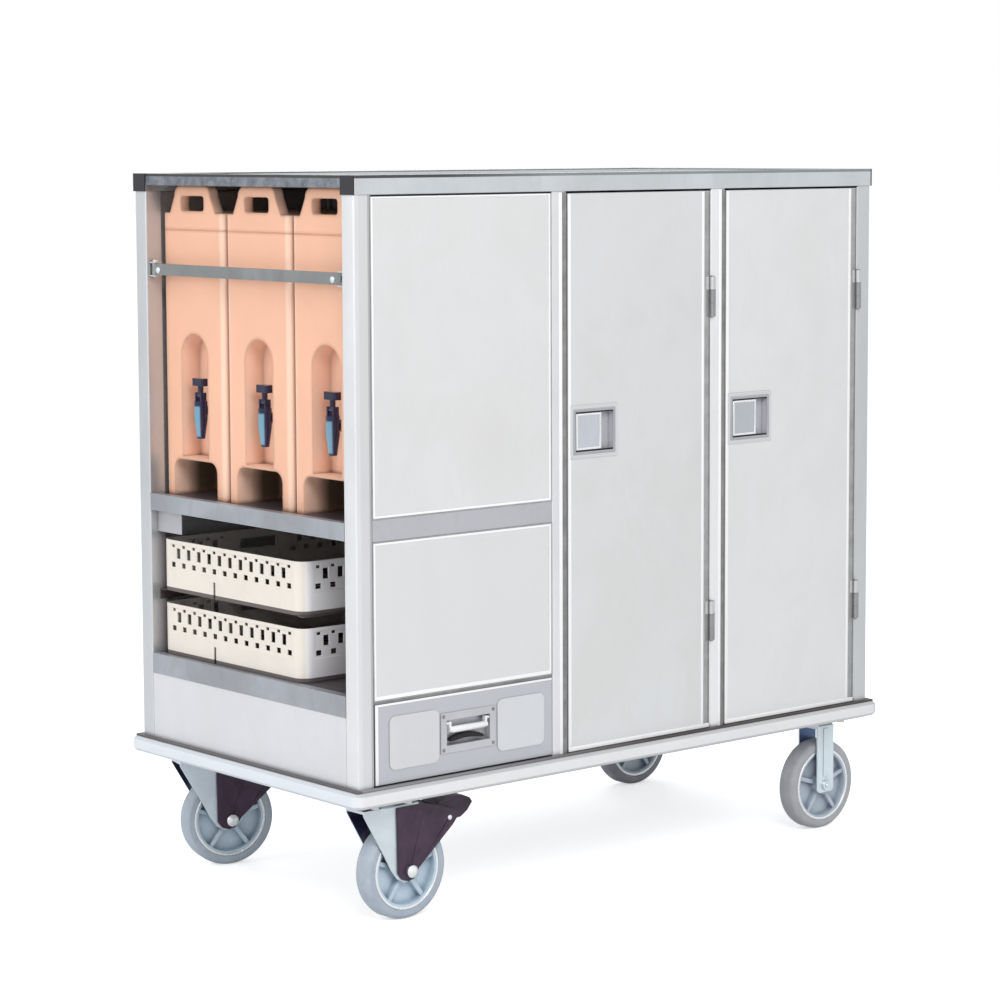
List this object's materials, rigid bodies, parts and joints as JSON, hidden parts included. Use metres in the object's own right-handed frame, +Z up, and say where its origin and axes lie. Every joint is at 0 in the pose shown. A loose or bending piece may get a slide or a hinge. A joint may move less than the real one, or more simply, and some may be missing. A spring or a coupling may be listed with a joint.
{
  "type": "enclosed meal tray cart",
  "caption": "Metal meal tray cart with hinged tray-bay doors, a drawer, an open end with drink containers over dish racks, a wraparound bumper, and swivel and rigid casters.",
  "frame": {"origin": "on the floor, under the middle of the bumper's outline", "axes": "+X along the long side towards the closed end, away from the open end bay; -Y is the door side; +Z up"},
  "size_m": [1.504, 0.806, 1.502],
  "materials": {
    "frame_steel": "satin mill finish",
    "post_steel": "bright satin with faint lengthwise grain",
    "panel_steel": "satin mill finish with soft mottling",
    "rail_steel": "blue-grey satin",
    "strip_steel": "mid-grey satin",
    "bumper_vinyl": "soft satin",
    "plug_plastic": "matte",
    "container_plastic": "satin moulded",
    "tap_plastic": "gloss",
    "rack_plastic": "satin moulded",
    "hardware_steel": "bright brushed",
    "latch_metal": "satin blue-grey",
    "bail_metal": "smooth white",
    "fork_zinc": "bright zinc plate",
    "brake_metal": "dark satin",
    "wheel_plastic": "satin moulded",
    "tyre_rubber": "matte non-marking"
  },
  "bodies": {
    "cart": {"base_frame": "frame_steel", "deck_panel": "panel_steel", "bumper": "bumper_vinyl", "posts": "post_steel", "top_rails": "rail_steel", "rail_end_plugs": "plug_plastic", "roof_panel": "panel_steel", "back_and_end_panels": "panel_steel", "partitions": "panel_steel", "side_panels": "panel_steel", "side_mid_strip": "strip_steel", "container_shelf": "rail_steel", "rack_shelf": "rail_steel", "rack_guides": "frame_steel", "end_apron": "panel_steel", "tray_slides": "frame_steel", "drawer_runners": "frame_steel", "frame_hardware": "hardware_steel", "bar_brackets": "hardware_steel", "beverage_containers": "container_plastic", "container_lids": "container_plastic", "tap_bodies": "tap_plastic", "swivel_plates": "fork_zinc", "rigid_forks": "fork_zinc", "caster_bolts": "hardware_steel"},
    "door_1": {"door_1_panel": "panel_steel", "door_1_hinge_leaves": "hardware_steel", "door_1_latch_cup": "latch_metal"},
    "door_1_paddle": {"door_1_paddle": "hardware_steel"},
    "door_1_bolt": {"door_1_bolt": "hardware_steel"},
    "door_2": {"door_2_panel": "panel_steel", "door_2_hinge_leaves": "hardware_steel", "door_2_latch_cup": "latch_metal"},
    "door_2_paddle": {"door_2_paddle": "hardware_steel"},
    "door_2_bolt": {"door_2_bolt": "hardware_steel"},
    "drawer": {"drawer_front": "panel_steel", "drawer_floor": "frame_steel", "drawer_side_walls": "frame_steel", "drawer_end_walls": "frame_steel", "drawer_slide_bars": "frame_steel", "drawer_pull_plate": "latch_metal"},
    "drawer_bail": {"drawer_bail": "bail_metal"},
    "retaining_bar": {"retaining_bar": "post_steel"},
    "upper_rack": {"upper_rack": "rack_plastic"},
    "lower_rack": {"lower_rack": "rack_plastic"},
    "tap_lever_back": {"tap_lever_back": "tap_plastic"},
    "tap_lever_middle": {"tap_lever_middle": "tap_plastic"},
    "tap_lever_front": {"tap_lever_front": "tap_plastic"},
    "swivel_front": {"fork_front": "fork_zinc", "brake_plates_front": "brake_metal"},
    "swivel_back": {"fork_back": "fork_zinc", "brake_plates_back": "brake_metal"},
    "brake_pedal_front": {"brake_pedal_front": "brake_metal"},
    "brake_pedal_back": {"brake_pedal_back": "brake_metal"},
    "wheel_front_left": {"wheel_core_front_left": "wheel_plastic", "tyre_front_left": "tyre_rubber"},
    "wheel_back_left": {"wheel_core_back_left": "wheel_plastic", "tyre_back_left": "tyre_rubber"},
    "wheel_front_right": {"wheel_core_front_right": "wheel_plastic", "tyre_front_right": "tyre_rubber"},
    "wheel_back_right": {"wheel_core_back_right": "wheel_plastic", "tyre_back_right": "tyre_rubber"}
  },
  "joints": [
    {"name": "door_1_hinge", "type": "hinge", "parent": "cart", "child": "door_1", "pos_m": [0.232, -0.386, 0.892], "axis": [0, 0, 1], "range_deg": [0, 175]},
    {"name": "door_1_paddle_hinge", "type": "hinge", "parent": "door_1", "child": "door_1_paddle", "pos_m": [-0.1515, -0.374, 0.966], "axis": [0, 0, -1], "range_deg": [0, 40], "stiffness_Nm_per_rad": 0.2},
    {"name": "door_1_bolt_slide", "type": "slide", "parent": "door_1", "child": "door_1_bolt", "axis": [1, 0, 0], "range_m": [0, 0.003]},
    {"name": "door_2_hinge", "type": "hinge", "parent": "cart", "child": "door_2", "pos_m": [0.688, -0.386, 0.892], "axis": [0, 0, 1], "range_deg": [0, 175]},
    {"name": "door_2_paddle_hinge", "type": "hinge", "parent": "door_2", "child": "door_2_paddle", "pos_m": [0.3045, -0.374, 0.966], "axis": [0, 0, -1], "range_deg": [0, 40], "stiffness_Nm_per_rad": 0.2},
    {"name": "door_2_bolt_slide", "type": "slide", "parent": "door_2", "child": "door_2_bolt", "axis": [1, 0, 0], "range_m": [0, 0.003]},
    {"name": "drawer_slide", "type": "slide", "parent": "cart", "child": "drawer", "axis": [0, -1, 0], "range_m": [0, 0.45]},
    {"name": "drawer_bail_hinge", "type": "hinge", "parent": "drawer", "child": "drawer_bail", "pos_m": [-0.45, -0.3775, 0.399], "axis": [-1, 0, 0], "range_deg": [0, 85]},
    {"name": "retaining_bar_hinge", "type": "hinge", "parent": "cart", "child": "retaining_bar", "pos_m": [-0.716, 0.327, 1.3], "axis": [0, 0, -1], "range_deg": [0, 95]},
    {"name": "upper_rack_slide", "type": "slide", "parent": "cart", "child": "upper_rack", "axis": [-1, 0, 0], "range_m": [0, 0.45]},
    {"name": "lower_rack_slide", "type": "slide", "parent": "cart", "child": "lower_rack", "axis": [-1, 0, 0], "range_m": [0, 0.45]},
    {"name": "tap_lever_back_hinge", "type": "hinge", "parent": "cart", "child": "tap_lever_back", "pos_m": [-0.672, 0.231, 1.035], "axis": [0, -1, 0], "range_deg": [0, 30], "stiffness_Nm_per_rad": 0.1},
    {"name": "tap_lever_middle_hinge", "type": "hinge", "parent": "cart", "child": "tap_lever_middle", "pos_m": [-0.672, 0, 1.035], "axis": [0, -1, 0], "range_deg": [0, 30], "stiffness_Nm_per_rad": 0.1},
    {"name": "tap_lever_front_hinge", "type": "hinge", "parent": "cart", "child": "tap_lever_front", "pos_m": [-0.672, -0.231, 1.035], "axis": [0, -1, 0], "range_deg": [0, 30], "stiffness_Nm_per_rad": 0.1},
    {"name": "swivel_front", "type": "hinge", "parent": "cart", "child": "swivel_front", "pos_m": [-0.622, -0.311, 0.242], "axis": [0, 0, 1], "continuous": true},
    {"name": "wheel_front_left_axle", "type": "hinge", "parent": "swivel_front", "child": "wheel_front_left", "pos_m": [-0.572, -0.311, 0.1015], "axis": [0, 1, 0], "continuous": true},
    {"name": "brake_pedal_front_hinge", "type": "hinge", "parent": "swivel_front", "child": "brake_pedal_front", "pos_m": [-0.47, -0.311, 0.1965], "axis": [0, 1, 0], "range_deg": [0, 20]},
    {"name": "wheel_front_right_axle", "type": "hinge", "parent": "cart", "child": "wheel_front_right", "pos_m": [0.641, -0.311, 0.1015], "axis": [0, 1, 0], "continuous": true},
    {"name": "swivel_back", "type": "hinge", "parent": "cart", "child": "swivel_back", "pos_m": [-0.622, 0.311, 0.242], "axis": [0, 0, 1], "continuous": true},
    {"name": "wheel_back_left_axle", "type": "hinge", "parent": "swivel_back", "child": "wheel_back_left", "pos_m": [-0.5737, 0.29806, 0.1015], "axis": [0.2588, 0.9659, 0], "continuous": true},
    {"name": "brake_pedal_back_hinge", "type": "hinge", "parent": "swivel_back", "child": "brake_pedal_back", "pos_m": [-0.47518, 0.27166, 0.1965], "axis": [0.2588, 0.9659, 0], "range_deg": [0, 20]},
    {"name": "wheel_back_right_axle", "type": "hinge", "parent": "cart", "child": "wheel_back_right", "pos_m": [0.641, 0.311, 0.1015], "axis": [0, 1, 0], "continuous": true}
  ],
  "couplings": [
    {"joint": "door_1_bolt_slide", "follows": "door_1_paddle_hinge", "m_per_rad": 0.0042},
    {"joint": "door_2_bolt_slide", "follows": "door_2_paddle_hinge", "m_per_rad": 0.0042}
  ]
}
